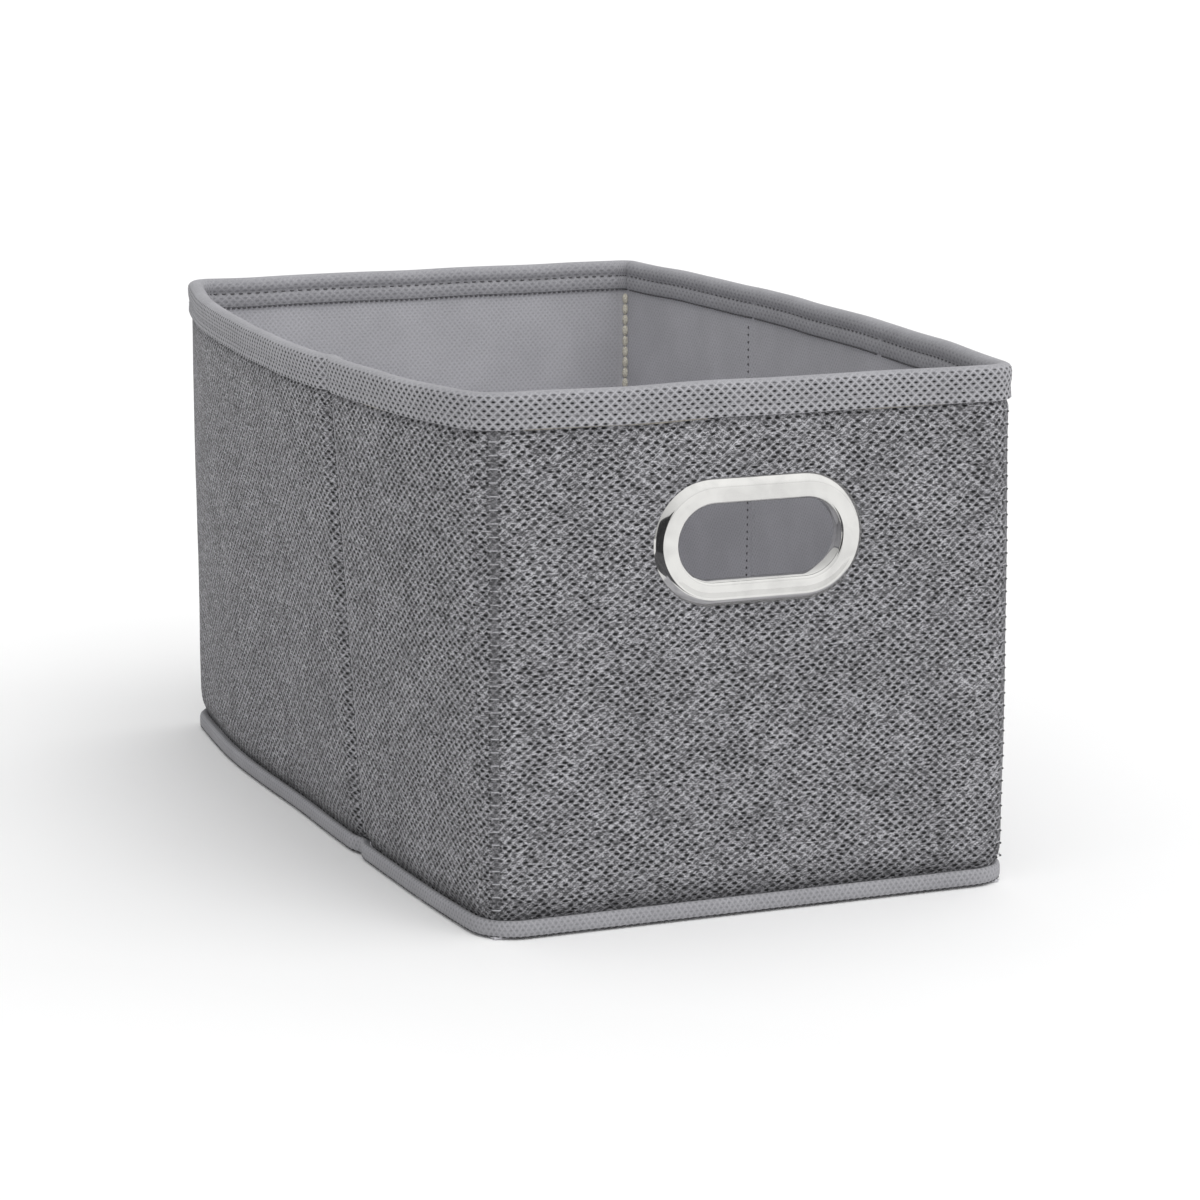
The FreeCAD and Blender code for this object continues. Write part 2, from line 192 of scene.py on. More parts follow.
# Places round the wall: the creases, and where one strip of cloth ends and the next begins.
RIGHT_MIDDLE = WIDTH + (RIGHT_CREASE_Y - FRONT_Y) / 2
RIGHT_CREASE = WIDTH + RIGHT_CREASE_Y - FRONT_Y
LEFT_START = 2 * WIDTH + LENGTH
LEFT_CREASE = LEFT_START + BACK_Y - LEFT_CREASE_Y
LEFT_VALLEY = LEFT_START + BACK_Y - VALLEY_FOOT_Y
LEFT_MIDDLE = LEFT_START + BACK_Y
LEFT_FORWARD = LEFT_CREASE + (PERIMETER - LEFT_CREASE) / 2


def roundness(corner, z, extra_round):
    """How round a corner is at a height."""
    return CORNER_ROUND[corner] + extra_round + RIM_ROUND[corner] * smooth(0.25 * RIM, RIM, z)


def plan(u, z, extra_round=0.0):
    """A point of the walls' outer outline, u mm round it from the front-left corner, at a height.

    A corner is a cubic curve between the ends of its two sides."""
    u = u % PERIMETER
    side = max(i for i in range(4) if u >= SIDE_STARTS[i])
    t = u - SIDE_STARTS[side]
    before = roundness(side - 1, z, extra_round)
    after = roundness(side, z, extra_round)
    if before <= t <= SIDE_LENGTHS[side] - after:
        return side_point(side, t, z)
    corner = side - 1 if t < before else side
    radius = before if t < before else after
    first, second = corner % 4, (corner + 1) % 4
    start = side_point(first, SIDE_LENGTHS[first] - radius, z)
    end = side_point(second, radius, z)
    tip = CORNERS[first]
    q = (radius + t) / (2 * radius) if t < before else (t - SIDE_LENGTHS[side] + radius) / (2 * radius)
    a, b = start.lerp(tip, ARC), end.lerp(tip, ARC)
    return start * (1 - q) ** 3 + a * 3 * q * (1 - q) ** 2 + b * 3 * q**2 * (1 - q) + end * q**3


def inward(u, z, extra_round=0.0):
    """The direction into the bin, level, at a place round the outline."""
    step = 0.4
    run = plan(u + step, z, extra_round) - plan(u - step, z, extra_round)
    run.normalize()
    return Vector((-run.y, run.x))


def flutter(u, z):
    """The cloth's slight unevenness over its board, none where the handle is clamped."""
    wide = noise.noise(Vector((u / 42, z / 55, 3.0))) * 0.42
    fine = noise.noise(Vector((u / 13, z / 17, 9.0))) * 0.14
    centre = WIDTH / 2
    away = math.hypot(max(abs(u - centre) - RING_STRAIGHT, 0) if u < PERIMETER / 2 else 99, z - HANDLE_Z)
    held = smooth(RING_RADIUS + 1, RING_RADIUS + 14, away)
    edge = smooth(0, 12, z - LIP_TOP) * smooth(0, 12, RIM - z)
    return (wide + fine) * held * edge


def surface(u, inset, z, lift=0.0, extra_round=0.0):
    """A point in the wall: u round it, inset inwards from its outer face, at a height."""
    wrapped = u % PERIMETER
    deep = inset + lift * flutter(wrapped, z)
    place = plan(u, z, extra_round) + inward(u, z, extra_round) * deep
    return Vector((place.x, place.y, z)) * MM


def stations(start, end):
    """Places round the outline from start to end, closer together at corners and creases."""
    fine_step, coarse_step, fine_reach, least_step = 0.8, 3.2, 12.5, 0.3
    corners = [s + d for s in SIDE_STARTS for d in (-PERIMETER, 0, PERIMETER)]
    creases = [RIGHT_CREASE, LEFT_CREASE + 4.0]
    places = [start]
    while places[-1] < end - least_step:
        here = places[-1]
        near = min(abs(here - p) for p in corners + creases)
        step = fine_step if near < fine_reach else coarse_step
        places.append(min(here + step, end))
    return places


def new_object(name, bm, material, smooth_angle=40):
    """A mesh object from a bmesh, shaded smooth up to an angle."""
    mesh = bpy.data.meshes.new(name)
    bmesh.ops.recalc_face_normals(bm, faces=bm.faces)
    bm.to_mesh(mesh)
    bm.free()
    mesh.materials.append(material)
    mesh.polygons.foreach_set("use_smooth", [True] * len(mesh.polygons))
    mesh.set_sharp_from_angle(angle=math.radians(smooth_angle))
    piece = bpy.data.objects.new(name, mesh)
    bpy.context.scene.collection.objects.link(piece)
    return piece


def set_cloth(piece, values):
    """Store each vertex's place on its cloth, in millimetres, for the weave."""
    layer = piece.data.attributes.new("cloth", "FLOAT_VECTOR", "POINT")
    layer.data.foreach_set("vector", [c for value in values for c in value])


def thickened(outline, gauge):
    """A closed section: an open one, outside first, with its parallel one a gauge inside it."""
    inner = []
    for i, (x, z) in enumerate(outline):
        x0, z0 = outline[max(i - 1, 0)]
        x1, z1 = outline[min(i + 1, len(outline) - 1)]
        length = math.hypot(x1 - x0, z1 - z0)
        inner.append((x + (z1 - z0) / length * gauge, z - (x1 - x0) / length * gauge))
    return list(outline) + inner[::-1]


def developed(outline):
    """How far along an open section each of its points lies."""
    lengths = [0.0]
    for (x0, z0), (x1, z1) in zip(outline, outline[1:]):
        lengths.append(lengths[-1] + math.hypot(x1 - x0, z1 - z0))
    return lengths


def sweep(name, places, outline, gauge, material, lift=0.0, extra_round=0.0, wave=None, strength=None):
    """A band of cloth round the outline: an open section given thickness and carried along it.

    wave gives the band's rise at a place, and strength how clear its weave is."""
    section = thickened(outline, gauge)
    half = len(outline)
    lengths = developed(outline)
    bm = bmesh.new()
    cloth = []
    rings = []
    for u in places:
        ring = []
        shift = wave(u) if wave else 0.0
        for k, (inset, z) in enumerate(section):
            ring.append(bm.verts.new(surface(u, inset, z + shift, lift, extra_round)))
            j = k if k < half else 2 * half - 1 - k
            cloth.append((u, lengths[j], strength(u, lengths[j]) if strength else 1.0))
        rings.append(ring)
    count = len(section)
    for a, b in zip(rings, rings[1:]):
        for k in range(count):
            bm.faces.new((a[k], b[k], b[(k + 1) % count], a[(k + 1) % count]))
    for ring in (rings[0], rings[-1]):
        for k in range(half - 1):
            bm.faces.new((ring[k], ring[k + 1], ring[count - 2 - k], ring[count - 1 - k]))
    piece = new_object(name, bm, material)
    set_cloth(piece, cloth)
    return piece


# The strips that the cloths are cut into at the folds. Each follows one body, or names two bodies and the
# span where it lies between them: CORNER_BEND mm beside a corner or CREASE_BEND mm either side of a crease.
FRONT_RIGHT_Y = FRONT_Y + CORNER_ROUND[0]
FRONT_LEFT_Y = FRONT_Y + CORNER_ROUND[3]
BACK_RIGHT_Y = BACK_Y - CORNER_ROUND[1]
BACK_LEFT_Y = BACK_Y - CORNER_ROUND[2]
CORNER_BEND = 9.5
CREASE_BEND = 8.0
STRIPS = {
    "front": (-CORNER_ROUND[3], WIDTH + CORNER_ROUND[0], "front_wall"),
    "right_near": (WIDTH + CORNER_ROUND[0], RIGHT_MIDDLE,
                   ("front_wall", "right_front", FRONT_RIGHT_Y, FRONT_RIGHT_Y + CORNER_BEND)),
    "right_mid": (RIGHT_MIDDLE, RIGHT_CREASE, "right_front"),
    "right_far": (RIGHT_CREASE, WIDTH + LENGTH - CORNER_ROUND[1],
                  ("right_rear", "back_wall", BACK_RIGHT_Y - CORNER_BEND, BACK_RIGHT_Y)),
    "back": (WIDTH + LENGTH - CORNER_ROUND[1], LEFT_START + CORNER_ROUND[2], "back_wall"),
    "left_far": (LEFT_START + CORNER_ROUND[2], LEFT_MIDDLE,
                 ("left_rear", "back_wall", BACK_LEFT_Y - CORNER_BEND, BACK_LEFT_Y)),
    "left_mid": (LEFT_MIDDLE, LEFT_FORWARD,
                 ("left_front", "left_rear", LEFT_CREASE_Y - CREASE_BEND, LEFT_CREASE_Y + CREASE_BEND)),
    "left_near": (LEFT_FORWARD, PERIMETER - CORNER_ROUND[3],
                  ("front_wall", "left_front", FRONT_LEFT_Y, FRONT_LEFT_Y + CORNER_BEND)),
}
# Which CAD panel each strip's cloth stands for.
PANELS = {
    "front": "front", "right_near": None, "right_mid": "right_front", "right_far": "right_rear",
    "back": "back", "left_far": "left_rear", "left_mid": None, "left_near": "left_front",
}


def follow(piece, strip):
    """Tie a piece to the body that its strip follows; a strip between two bodies is left unparented, with
    its transform applied.
    """
    hold = STRIPS[strip][2]
    if isinstance(hold, str):
        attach(piece, hold)
        return
    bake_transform(piece)


# The weave: how far its gaps are apart along and up the cover, the tape and the lining.
COVER_PITCH, COVER_ROW = 2.85, 1.17
TAPE_PITCH, TAPE_ROW = 2.56, 1.15
LINING_PITCH, LINING_ROW = 1.7, 0.95
# How light the cover is, as a share of its yarns' own greys.
COVER_TONE = 0.66
# The stretch along the rim tape's section in which it rolls over the wall's top edge; the painted highlight
# on its top ramps up over it.
TAPE_ROLL = (8.0, 9.6)


class Material:
    """A node material built around one Principled shader."""

    def __init__(self, name, roughness, metallic=0.0, sheen=0.0, specular=0.3):
        self.material = bpy.data.materials.new(name)
        self.material.use_nodes = True
        self.tree = self.material.node_tree
        self.shader = self.tree.nodes["Principled BSDF"]
        self.shader.inputs["Roughness"].default_value = roughness
        self.shader.inputs["Metallic"].default_value = metallic
        self.shader.inputs["Sheen Weight"].default_value = sheen
        self.shader.inputs["Specular IOR Level"].default_value = specular

    def put(self, socket, value):
        """Link a node's output to a socket, or set the socket to a number or colour."""
        if isinstance(value, bpy.types.NodeSocket):
            self.tree.links.new(value, socket)
        else:
            socket.default_value = value

    def times(self, a, b):
        return self.math("MULTIPLY", a, b)

    def plus(self, a, b):
        return self.math("ADD", a, b)

    def minus(self, a, b):
        return self.math("SUBTRACT", a, b)

    def largest(self, first, *others):
        for other in others:
            first = self.math("MAXIMUM", first, other)
        return first

    def math(self, operation, *values):
        node = self.tree.nodes.new("ShaderNodeMath")
        node.operation = operation
        for socket, value in zip(node.inputs, values):
            self.put(socket, value)
        return node.outputs[0]

    def step(self, value, low, high, start=0.0, end=1.0):
        """A smooth step of a value from low to high, giving start to end."""
        node = self.tree.nodes.new("ShaderNodeMapRange")
        node.interpolation_type = "SMOOTHSTEP"
        names = ("Value", "From Min", "From Max", "To Min", "To Max")
        for name, given in zip(names, (value, low, high, start, end)):
            self.put(node.inputs[name], given)
        return node.outputs["Result"]

    def vector(self, x, y, z=0.0):
        node = self.tree.nodes.new("ShaderNodeCombineXYZ")
        for socket, value in zip(node.inputs, (x, y, z)):
            self.put(socket, value)
        return node.outputs[0]

    def cloth(self):
        """The three numbers of the mesh's cloth attribute: along, up and strength."""
        node = self.tree.nodes.new("ShaderNodeAttribute")
        node.attribute_name = "cloth"
        split = self.tree.nodes.new("ShaderNodeSeparateXYZ")
        self.put(split.inputs[0], node.outputs["Vector"])
        return split.outputs

    def place(self):
        """The object's own coordinates, in millimetres."""
        node = self.tree.nodes.new("ShaderNodeTexCoord")
        scaled = self.tree.nodes.new("ShaderNodeVectorMath")
        scaled.operation = "SCALE"
        scaled.inputs["Scale"].default_value = 1 / MM
        self.put(scaled.inputs[0], node.outputs["Object"])
        return scaled.outputs[0]

    def noise(self, vector, scale, detail=2.0, distortion=0.0):
        node = self.tree.nodes.new("ShaderNodeTexNoise")
        node.inputs["Scale"].default_value = scale
        node.inputs["Detail"].default_value = detail
        node.inputs["Distortion"].default_value = distortion
        self.put(node.inputs["Vector"], vector)
        return node.outputs[0]

    def mix(self, factor, a, b):
        node = self.tree.nodes.new("ShaderNodeMix")
        node.data_type = "RGBA"
        self.put(node.inputs[0], factor)
        self.put(node.inputs[6], a)
        self.put(node.inputs[7], b)
        return node.outputs[2]

    def scaled_colour(self, colour, amount):
        node = self.tree.nodes.new("ShaderNodeVectorMath")
        node.operation = "SCALE"
        self.put(node.inputs[0], colour)
        self.put(node.inputs["Scale"], amount)
        return node.outputs[0]

    def finish(self, colour, height=None, strength=0.5, distance=0.3, roughness=None):
        self.put(self.shader.inputs["Base Color"], colour)
        if roughness is not None:
            self.put(self.shader.inputs["Roughness"], roughness)
        if height is not None:
            bump = self.tree.nodes.new("ShaderNodeBump")
            bump.inputs["Strength"].default_value = strength
            bump.inputs["Distance"].default_value = distance * MM
            self.put(bump.inputs["Height"], height)
            self.put(self.shader.inputs["Normal"], bump.outputs[0])
        return self.material


def grey(value):
    """A linear grey with the cloth's slight violet cast."""
    return (value * 0.985, value * 0.98, value * 1.035, 1.0)


def chance(m, cell):
    """Three random numbers that are the same all over one cell."""
    node = m.tree.nodes.new("ShaderNodeTexWhiteNoise")
    node.noise_dimensions = "2D"
    m.put(node.inputs["Vector"], cell)
    split = m.tree.nodes.new("ShaderNodeSeparateColor")
    m.put(split.inputs[0], node.outputs["Color"])
    return split.outputs


def woven(m, along, up, pitch, row, wide, tall, uneven):
    """A lattice of gaps between crossing ribs; every other row of it is shifted by half a pitch.

    A gap is wide by tall mm, and uneven is how far it strays. Gives the gap, the rib, the knot at each
    crossing and the cell's random numbers."""
    knot_wide, knot_tall, knot_slant = 0.8, 0.3, 0.25
    level = m.math("DIVIDE", up, row)
    line = m.math("FLOOR", level)
    shift = m.times(m.math("FLOORED_MODULO", line, 2.0), 0.5)
    column = m.plus(m.math("DIVIDE", along, pitch), shift)
    dice = chance(m, m.vector(m.math("FLOOR", column), line))
    across = m.minus(m.math("FRACT", column), 0.5)
    above = m.minus(m.math("FRACT", level), 0.5)
    stray_x = m.times(m.minus(dice[0], 0.5), uneven)
    stray_y = m.times(m.minus(dice[1], 0.5), uneven)
    x = m.times(m.plus(across, stray_x), pitch / wide)
    y = m.times(m.plus(above, stray_y), row / tall)
    reach = m.math("SQRT", m.plus(m.times(x, x), m.times(y, y)))
    gap = m.step(reach, 0.45, 1.2, 1.0, 0.0)
    diamond = m.plus(m.times(m.math("ABSOLUTE", across), 2.0), m.math("ABSOLUTE", above))
    rib = m.step(m.math("ABSOLUTE", m.minus(diamond, 1.0)), 0.04, 0.34, 1.0, 0.0)
    beside = m.times(m.minus(m.math("ABSOLUTE", across), 0.5), pitch / knot_wide)
    slanted = m.plus(above, m.times(across, knot_slant))
    over = m.times(slanted, row / knot_tall)
    spread = m.plus(m.times(beside, beside), m.times(over, over))
    knot = m.step(spread, 0.2, 1.3, 1.0, 0.0)
    return gap, rib, knot, dice


def strokes(m, along, up, turn, length, width, seed, low, high):
    """Thin light yarns that lie at an angle to the weave."""
    c, s = math.cos(math.radians(turn)), math.sin(math.radians(turn))
    a = m.plus(m.times(along, c / length), m.times(up, s / length))
    b = m.plus(m.times(along, -s / width), m.times(up, c / width))
    return m.step(m.noise(m.vector(a, b, seed), 1.0, 1.0), low, high)


def cover_material():
    """The outer cover: a coarse linen weave with dark gaps between light, uneven yarns, and painted shade
    towards its foot.
    """
    m = Material("cover_weave", roughness=0.92, sheen=0.1, specular=0.2)
    along, up, held = m.cloth()
    flat = m.vector(along, up)
    wander = m.noise(flat, 0.10, 2.0)
    drift = m.noise(m.vector(up, along, 7.0), 0.13, 2.0)
    along_w = m.plus(along, m.times(wander, 1.5))
    up_w = m.plus(up, m.times(drift, 0.8))
    gap, rib, knot, dice = woven(m, along_w, up_w, COVER_PITCH, COVER_ROW, 0.88, 0.42, 0.3)
    gap = m.times(gap, m.step(dice[2], 0.0, 0.7, 0.3, 1.0))
    rib = m.times(rib, m.step(dice[1], 0.15, 0.75, 0.1, 0.75))
    knot = m.times(knot, m.step(dice[0], 0.1, 0.6, 0.35, 1.0))
    rising = strokes(m, along_w, up_w, 38, 2.4, 0.42, 1.0, 0.55, 0.68)
    falling = strokes(m, along_w, up_w, -36, 1.8, 0.42, 5.0, 0.57, 0.70)
    level = strokes(m, along_w, up_w, 1, 2.6, 0.40, 9.0, 0.54, 0.68)
    shadow = strokes(m, along_w, up_w, -1, 2.0, 0.42, 13.0, 0.56, 0.70)
    slub = strokes(m, along, up, 41, 9.0, 0.55, 17.0, 0.66, 0.72)
    yarn = m.largest(m.largest(rising, falling), m.largest(level, rib))
    yarn = m.largest(yarn, knot)
    yarn = m.times(yarn, m.minus(1.0, m.times(gap, 0.8)))
    yarn = m.times(m.largest(yarn, m.times(slub, 0.9)), held)
    gap = m.times(gap, held)
    fuzz = m.noise(flat, 2.4, 2.0)
    cloud = m.noise(flat, 0.06, 4.0)
    streak = m.noise(m.vector(m.times(along, 0.12), m.times(up, 0.6), 4.0), 1.0, 3.0)
    shade = m.times(m.step(cloud, 0.3, 0.7, 0.9, 1.1), m.step(streak, 0.3, 0.7, 0.87, 1.12))
    shade = m.times(shade, m.step(fuzz, 0.28, 0.72, 0.7, 1.3))
    # Painted shade: the cover darker over the lowest 10 mm of its section, in the groove above the foot
    # tape.
    shade = m.times(shade, m.step(up, 0.5, 10.0, 0.66 * COVER_TONE, COVER_TONE))
    colour = m.mix(yarn, grey(0.15), grey(0.62))
    colour = m.mix(m.times(shadow, 0.6), colour, grey(0.05))
    colour = m.mix(m.times(gap, 0.97), colour, grey(0.015))
    colour = m.scaled_colour(colour, shade)
    height = m.minus(m.times(yarn, 0.6), gap)
    return m.finish(colour, height, strength=0.5, distance=0.3)


def nonwoven_material(name, base, dark, hole, light, pitch, row, strength=0.4, painted_roll_highlight=1.0):
    """A thermally bonded cloth: rows of small pressed pits between soft diagonal ribs.

    hole and light are how clear the pits and the ribs are; past TAPE_ROLL the tone is scaled by the last
    argument, a painted highlight on the tape's rolled top and inner band."""
    m = Material(name, roughness=0.8, sheen=0.06, specular=0.25)
    along, up, held = m.cloth()
    flat = m.vector(along, up)
    wander = m.noise(flat, 0.07, 2.0)
    along_w = m.plus(along, m.times(wander, 1.0))
    gap, rib, _, dice = woven(m, along_w, up, pitch, row, 0.25 * pitch, 0.28 * row, 0.1)
    pit = m.times(m.times(gap, m.step(dice[2], 0.0, 0.5, 0.6, 1.0)), held)
    rib = m.times(rib, held)
    fibre = strokes(m, along, up, 41, 2.2, 0.2, 2.0, 0.5, 0.72)
    cloud = m.noise(flat, 0.05, 3.0)
    fuzz = m.noise(flat, 1.9, 2.0)
    pale = grey(base * 1.7)
    colour = m.mix(m.times(rib, light), grey(base), pale)
    colour = m.mix(m.times(fibre, light * 0.4), colour, pale)
    colour = m.mix(m.times(pit, hole), colour, grey(dark))
    shade = m.times(m.step(cloud, 0.3, 0.7, 0.94, 1.05), m.step(fuzz, 0.25, 0.75, 0.9, 1.08))
    # Painted highlight: past TAPE_ROLL the rolled top and the inner band are lighter by the last argument.
    shade = m.times(shade, m.step(up, *TAPE_ROLL, 1.0, painted_roll_highlight))
    colour = m.scaled_colour(colour, shade)
    height = m.minus(m.times(rib, 0.5), pit)
    height = m.plus(height, m.times(fuzz, 0.3))
    return m.finish(colour, height, strength=strength, distance=0.28)


def thread_material(name, colour, dark):
    """Twisted sewing thread."""
    m = Material(name, roughness=0.7, sheen=0.15, specular=0.35)
    place = m.place()
    twist = m.noise(place, 2.6, 2.0, 0.8)
    tone = m.mix(m.step(twist, 0.3, 0.7), dark, colour)
    return m.finish(tone, twist, strength=0.4, distance=0.15)


def card_material():
    """Grey board, with flecks of recycled fibre."""
    m = Material("grey_card", roughness=0.95, specular=0.15)
    place = m.place()
    fleck = m.noise(place, 0.9, 4.0)
    cloud = m.noise(place, 0.05, 3.0)
    tone = m.mix(m.step(fleck, 0.42, 0.62), (0.30, 0.28, 0.25, 1), (0.47, 0.44, 0.39, 1))
    shaded = m.scaled_colour(tone, m.step(cloud, 0.3, 0.7, 0.92, 1.06))
    return m.finish(shaded, fleck, strength=0.2, distance=0.1)


def polished_material():
    """Bright plated steel with faint polishing marks and fingerprints."""
    m = Material("polished_plate", roughness=0.08, metallic=1.0, specular=0.5)
    place = m.place()
    smudge = m.noise(place, 0.12, 4.0, 0.6)
    wobble = m.noise(place, 0.055, 2.0)
    tone = m.mix(m.step(smudge, 0.35, 0.7), (0.74, 0.735, 0.715, 1), (0.64, 0.635, 0.62, 1))
    rough = m.step(smudge, 0.35, 0.75, 0.05, 0.12)
    return m.finish(tone, wobble, strength=0.4, distance=1.0, roughness=rough)


def stamped_material():
    """Plain stamped steel inside the bin, with fine scratches."""
    m = Material("stamped_steel", roughness=0.35, metallic=1.0, specular=0.5)
    scratch = m.noise(m.place(), 1.4, 4.0, 1.5)
    tone = m.mix(m.step(scratch, 0.35, 0.7), (0.50, 0.50, 0.50, 1), (0.62, 0.62, 0.61, 1))
    rough = m.step(scratch, 0.35, 0.75, 0.28, 0.48)
    return m.finish(tone, scratch, strength=0.15, distance=0.1, roughness=rough)


COVER = cover_material()
LINING = nonwoven_material("lining_cloth", 0.46, 0.24, 0.3, 0.15, LINING_PITCH, LINING_ROW, strength=0.15)
# The rim tape gets a painted highlight of 1.35 on its rolled top and inner band.
TAPE = nonwoven_material("binding_tape", 0.235, 0.012, 1.0, 1.0, TAPE_PITCH, TAPE_ROW, painted_roll_highlight=1.35)
FOOT_TAPE = nonwoven_material("foot_tape", 0.29, 0.12, 0.4, 0.25, LINING_PITCH, TAPE_ROW, strength=0.25)
THREAD = thread_material("grey_thread", grey(0.40), grey(0.22))
PALE_THREAD = thread_material("pale_thread", grey(0.48), grey(0.3))
DARK_THREAD = thread_material("dark_thread", grey(0.05), grey(0.02))
SOFT_THREAD = thread_material("soft_thread", grey(0.13), grey(0.08))
CREAM_THREAD = thread_material("cream_thread", (0.84, 0.81, 0.69, 1), (0.46, 0.43, 0.36, 1))
CARD = card_material()
PLATE = polished_material()
STEEL = stamped_material()


def rim_wave(u):
    """The rim's slight rise and fall."""
    angle = 2 * math.pi * u / PERIMETER
    ring = Vector((math.cos(angle), math.sin(angle), 0)) * 5.0
    return 0.45 * noise.noise(ring) - 0.1


def cover_outline():
    """The cover's section, up its outer face: pulled in above the foot binding and under the rim."""
    dent, pinch, rows = 1.6, 0.8, 22
    foot, top = LIP_TOP - 1.0, RIM - 3.0
    low, high = LIP_TOP + 7.0, TAPE_FOOT - 2.4
    points = [(dent, foot), (dent, LIP_TOP), (dent * 0.75, LIP_TOP + 0.9), (dent * 0.4, LIP_TOP + 2.4)]
    points += [(dent * 0.14, LIP_TOP + 4.4), (0.0, low)]
    points += [(0.0, low + (high - low) * i / rows) for i in range(1, rows + 1)]
    points += [(pinch * 0.5, TAPE_FOOT - 1.2), (pinch, TAPE_FOOT - 0.3), (pinch, TAPE_FOOT + 0.8)]
    points += [(0.1, TAPE_FOOT + 2), (0.1, top)]
    return points


def lining_outline():
    """The lining's section, down its inner face."""
    foot, top = LIP_TOP - 0.5, RIM - 3.2
    rows = 20
    return [(WALL, top + (foot - top) * i / rows) for i in range(rows + 1)]


# The rim tape's section from its outer edge over the top to its inner edge: (depth behind the wall's outer
# face, height above the tape's foot). It dips where the stitch rows pull it in.
TAPE_OUTLINE = (
    (-0.5, 0.0), (-0.7, 0.2), (-0.7, 0.7), (-0.62, 1.9), (-0.5, 3.0), (-0.49, 3.4), (-0.58, 4.1),
    (-0.72, 5.0), (-0.8, 6.0), (-0.8, 7.2), (-0.62, 8.25), (-0.1, 8.95), (0.75, 9.38), (1.7, 9.5),
    (2.6, 9.38), (3.4, 8.95), (4.0, 8.2), (4.3, 7.2), (4.28, 6.3), (4.0, 5.5), (3.72, 5.0), (3.78, 4.5),
    (4.1, 3.8), (4.22, 2.8), (4.15, 1.4), (3.95, 0.6), (3.8, 0.5),
)


def tape_outline():
    """The rim tape's section, from its outer edge over the top to its inner edge."""
    return [(x, TAPE_FOOT + z) for x, z in TAPE_OUTLINE]


def tape_strength(_, length):
    """Pits show on the outer band, fade on the rolled top and are faint inside."""
    outside = 1 - smooth(8.2, 9.6, length)
    inside = 0.22 * smooth(13.0, 15.0, length)
    return outside + inside + 0.05


def lip_outline():
    """The foot tape's section, from under the bin round its edge to the groove above."""
    return [
        (3.4, 0.78), (1.8, 0.74), (0.4, 0.7), (-0.6, 0.72), (-1.1, 0.95), (-1.3, 1.5), (-1.32, 2.6),
        (-1.28, 3.6), (-1.1, 4.4), (-0.5, LIP_TOP), (0.5, LIP_TOP - 0.1), (1.25, LIP_TOP - 0.7),
    ]


def cover_strength(u, _):
    """The weave is pressed flatter between the ladder seams' two needle columns."""
    off, pressed = 0.6, 0.35
    middles = (off, WIDTH - off, WIDTH + LENGTH + off, LEFT_START - off)
    away = min(abs(u - middle) for middle in middles)
    return smooth(0.7, 1.8, away) * (1 - pressed) + pressed


def declare_strip(piece, strip, nodes=()):
    """Tie a band of cloth to the body that its strip follows, and hide the nodes it replaces."""
    follow(piece, strip)
    if nodes:
        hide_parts(*nodes)


def length_at(outline, height):
    """How far along an open section it crosses a height."""
    lengths = developed(outline)
    for k, ((_, z0), (_, z1)) in enumerate(zip(outline, outline[1:])):
        if min(z0, z1) <= height <= max(z0, z1) and z0 != z1:
            return lengths[k] + (lengths[k + 1] - lengths[k]) * (height - z0) / (z1 - z0)
    return lengths[-1]


def cut_handle_hole(piece, outline):
    """Cut the handle's oval out of a front wall piece, and place its new vertices on the cloth."""
    known = {}
    for vertex, place in zip(piece.data.vertices, piece.data.attributes["cloth"].data):
        known[tuple(round(c, 6) for c in vertex.co)] = tuple(place.vector)
    bm = bmesh.new()
    radius, count, past = HOLE_RADIUS + HOLE_CLEARANCE, 64, 4.0
    rings = []
    for y in (FRONT_Y - past, FRONT_Y + WALL + past):
        rings.append([bm.verts.new(oval_point(radius, q / count, y)) for q in range(count)])
    for k in range(count):
        after = (k + 1) % count
        bm.faces.new((rings[0][k], rings[0][after], rings[1][after], rings[1][k]))
    bm.faces.new(rings[0])
    bm.faces.new(rings[1])
    cutter = new_object("cutter", bm, CARD)
    cut = piece.modifiers.new("hole", "BOOLEAN")
    cut.object = cutter
    cut.operation = "DIFFERENCE"
    cut.solver = "EXACT"
    bpy.context.view_layer.update()
    graph = bpy.context.evaluated_depsgraph_get()
    shaped = bpy.data.meshes.new_from_object(piece.evaluated_get(graph))
    piece.modifiers.clear()
    old = piece.data
    piece.data = shaped
    bpy.data.meshes.remove(old)
    bpy.data.objects.remove(cutter)
    if "cloth" in shaped.attributes:
        shaped.attributes.remove(shaped.attributes["cloth"])
    places = []
    for vertex in shaped.vertices:
        x, _, z = (c / MM for c in vertex.co)
        by_place = (x + HALF_WIDTH, length_at(outline, z), 1.0)
        places.append(known.get(tuple(round(c, 6) for c in vertex.co), by_place))
    set_cloth(piece, places)


def oval_point(radius, share, y):
    """A point a share of the way round an oval about the handle's middle, in metres."""
    straight = 2 * RING_STRAIGHT
    arc = math.pi * RING_RADIUS
    run = (share % 1) * 2 * (straight + arc)
    if run < straight:
        x, z = -RING_STRAIGHT + run, radius
    elif run < straight + arc:
        angle = math.pi / 2 - (run - straight) / RING_RADIUS
        x, z = RING_STRAIGHT + radius * math.cos(angle), radius * math.sin(angle)
    elif run < 2 * straight + arc:
        x, z = RING_STRAIGHT - (run - straight - arc), -radius
    else:
        angle = -math.pi / 2 - (run - 2 * straight - arc) / RING_RADIUS
        x, z = -RING_STRAIGHT + radius * math.cos(angle), radius * math.sin(angle)
    return Vector((x, y, HANDLE_Z + z)) * MM


